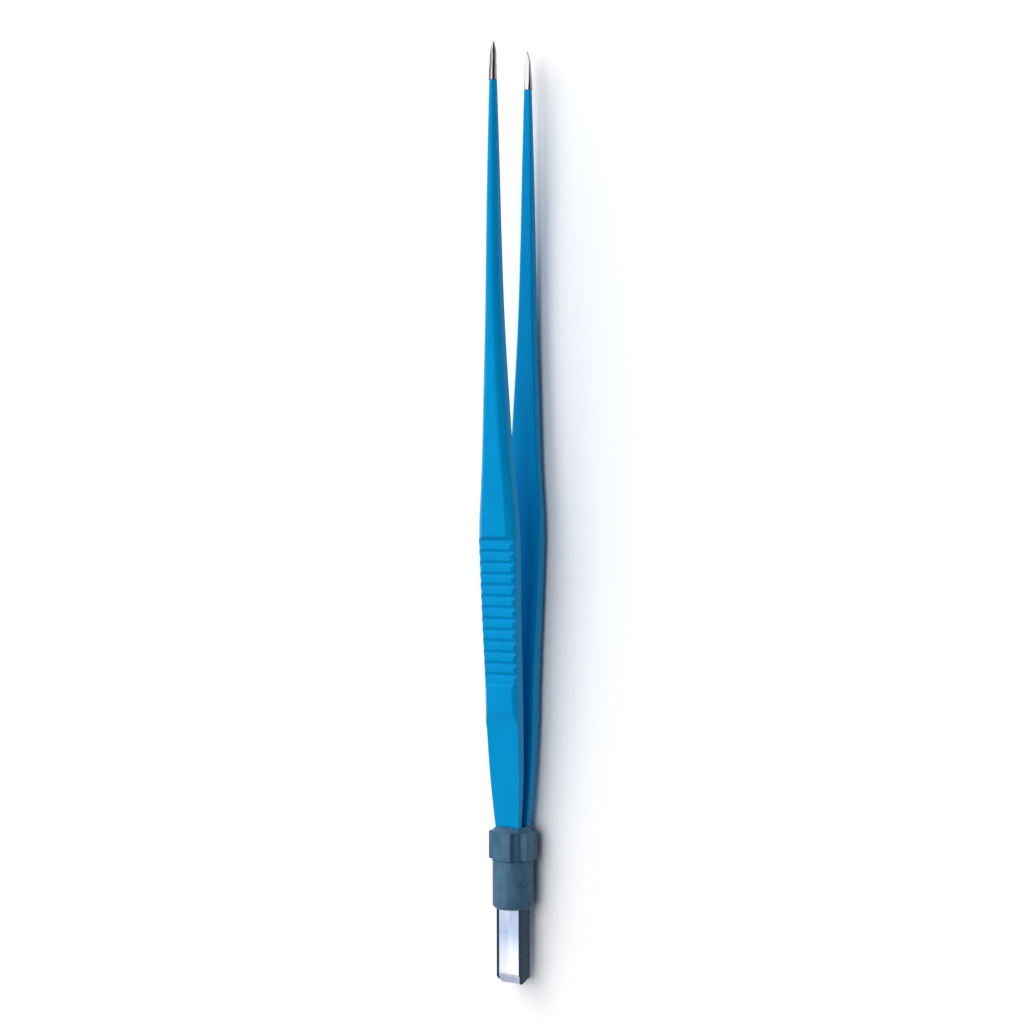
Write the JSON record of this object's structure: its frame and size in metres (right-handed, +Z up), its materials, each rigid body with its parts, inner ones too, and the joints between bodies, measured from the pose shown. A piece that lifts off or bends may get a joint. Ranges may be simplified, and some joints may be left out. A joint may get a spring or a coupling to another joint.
{
  "type": "bipolar forceps",
  "caption": "Tweezer-like electrosurgical forceps: coated spring arms with ribbed thumb grips and bare pointed tips, joined in a moulded housing with a flat two-pole plug.",
  "frame": {"origin": "middle of the box round the forceps, on the surface that they lie on", "axes": "+Y from the plug towards the tips, +X across the arms, +Z up, from the far arm to the near arm"},
  "size_m": [0.0094, 0.2002, 0.0194],
  "materials": {
    "arm_steel": "polished",
    "blue_coating": "gloss",
    "housing_plastic": "satin",
    "core_plastic": "satin",
    "potting_resin": "satin",
    "pin_plastic": "satin",
    "blade_metal": "brushed"
  },
  "bodies": {
    "plug_end": {"housing": "housing_plastic", "core": "core_plastic", "potting": "potting_resin", "near_blade": "blade_metal", "far_blade": "blade_metal", "left_pin": "pin_plastic", "right_pin": "pin_plastic"},
    "near_tine": {"near_arm": "arm_steel", "near_coating": "blue_coating"},
    "far_tine": {"far_arm": "arm_steel", "far_coating": "blue_coating"}
  },
  "joints": [
    {"name": "near_flex", "type": "hinge", "parent": "plug_end", "child": "near_tine", "pos_m": [0, -0.06661, 0.00676], "axis": [-1, 0, 0], "range_deg": [0, 2.22], "stiffness_Nm_per_rad": 2.5},
    {"name": "far_flex", "type": "hinge", "parent": "plug_end", "child": "far_tine", "pos_m": [0, -0.06648, 0.00342], "axis": [1, 0, 0], "range_deg": [0, 2.22], "stiffness_Nm_per_rad": 2.5}
  ]
}
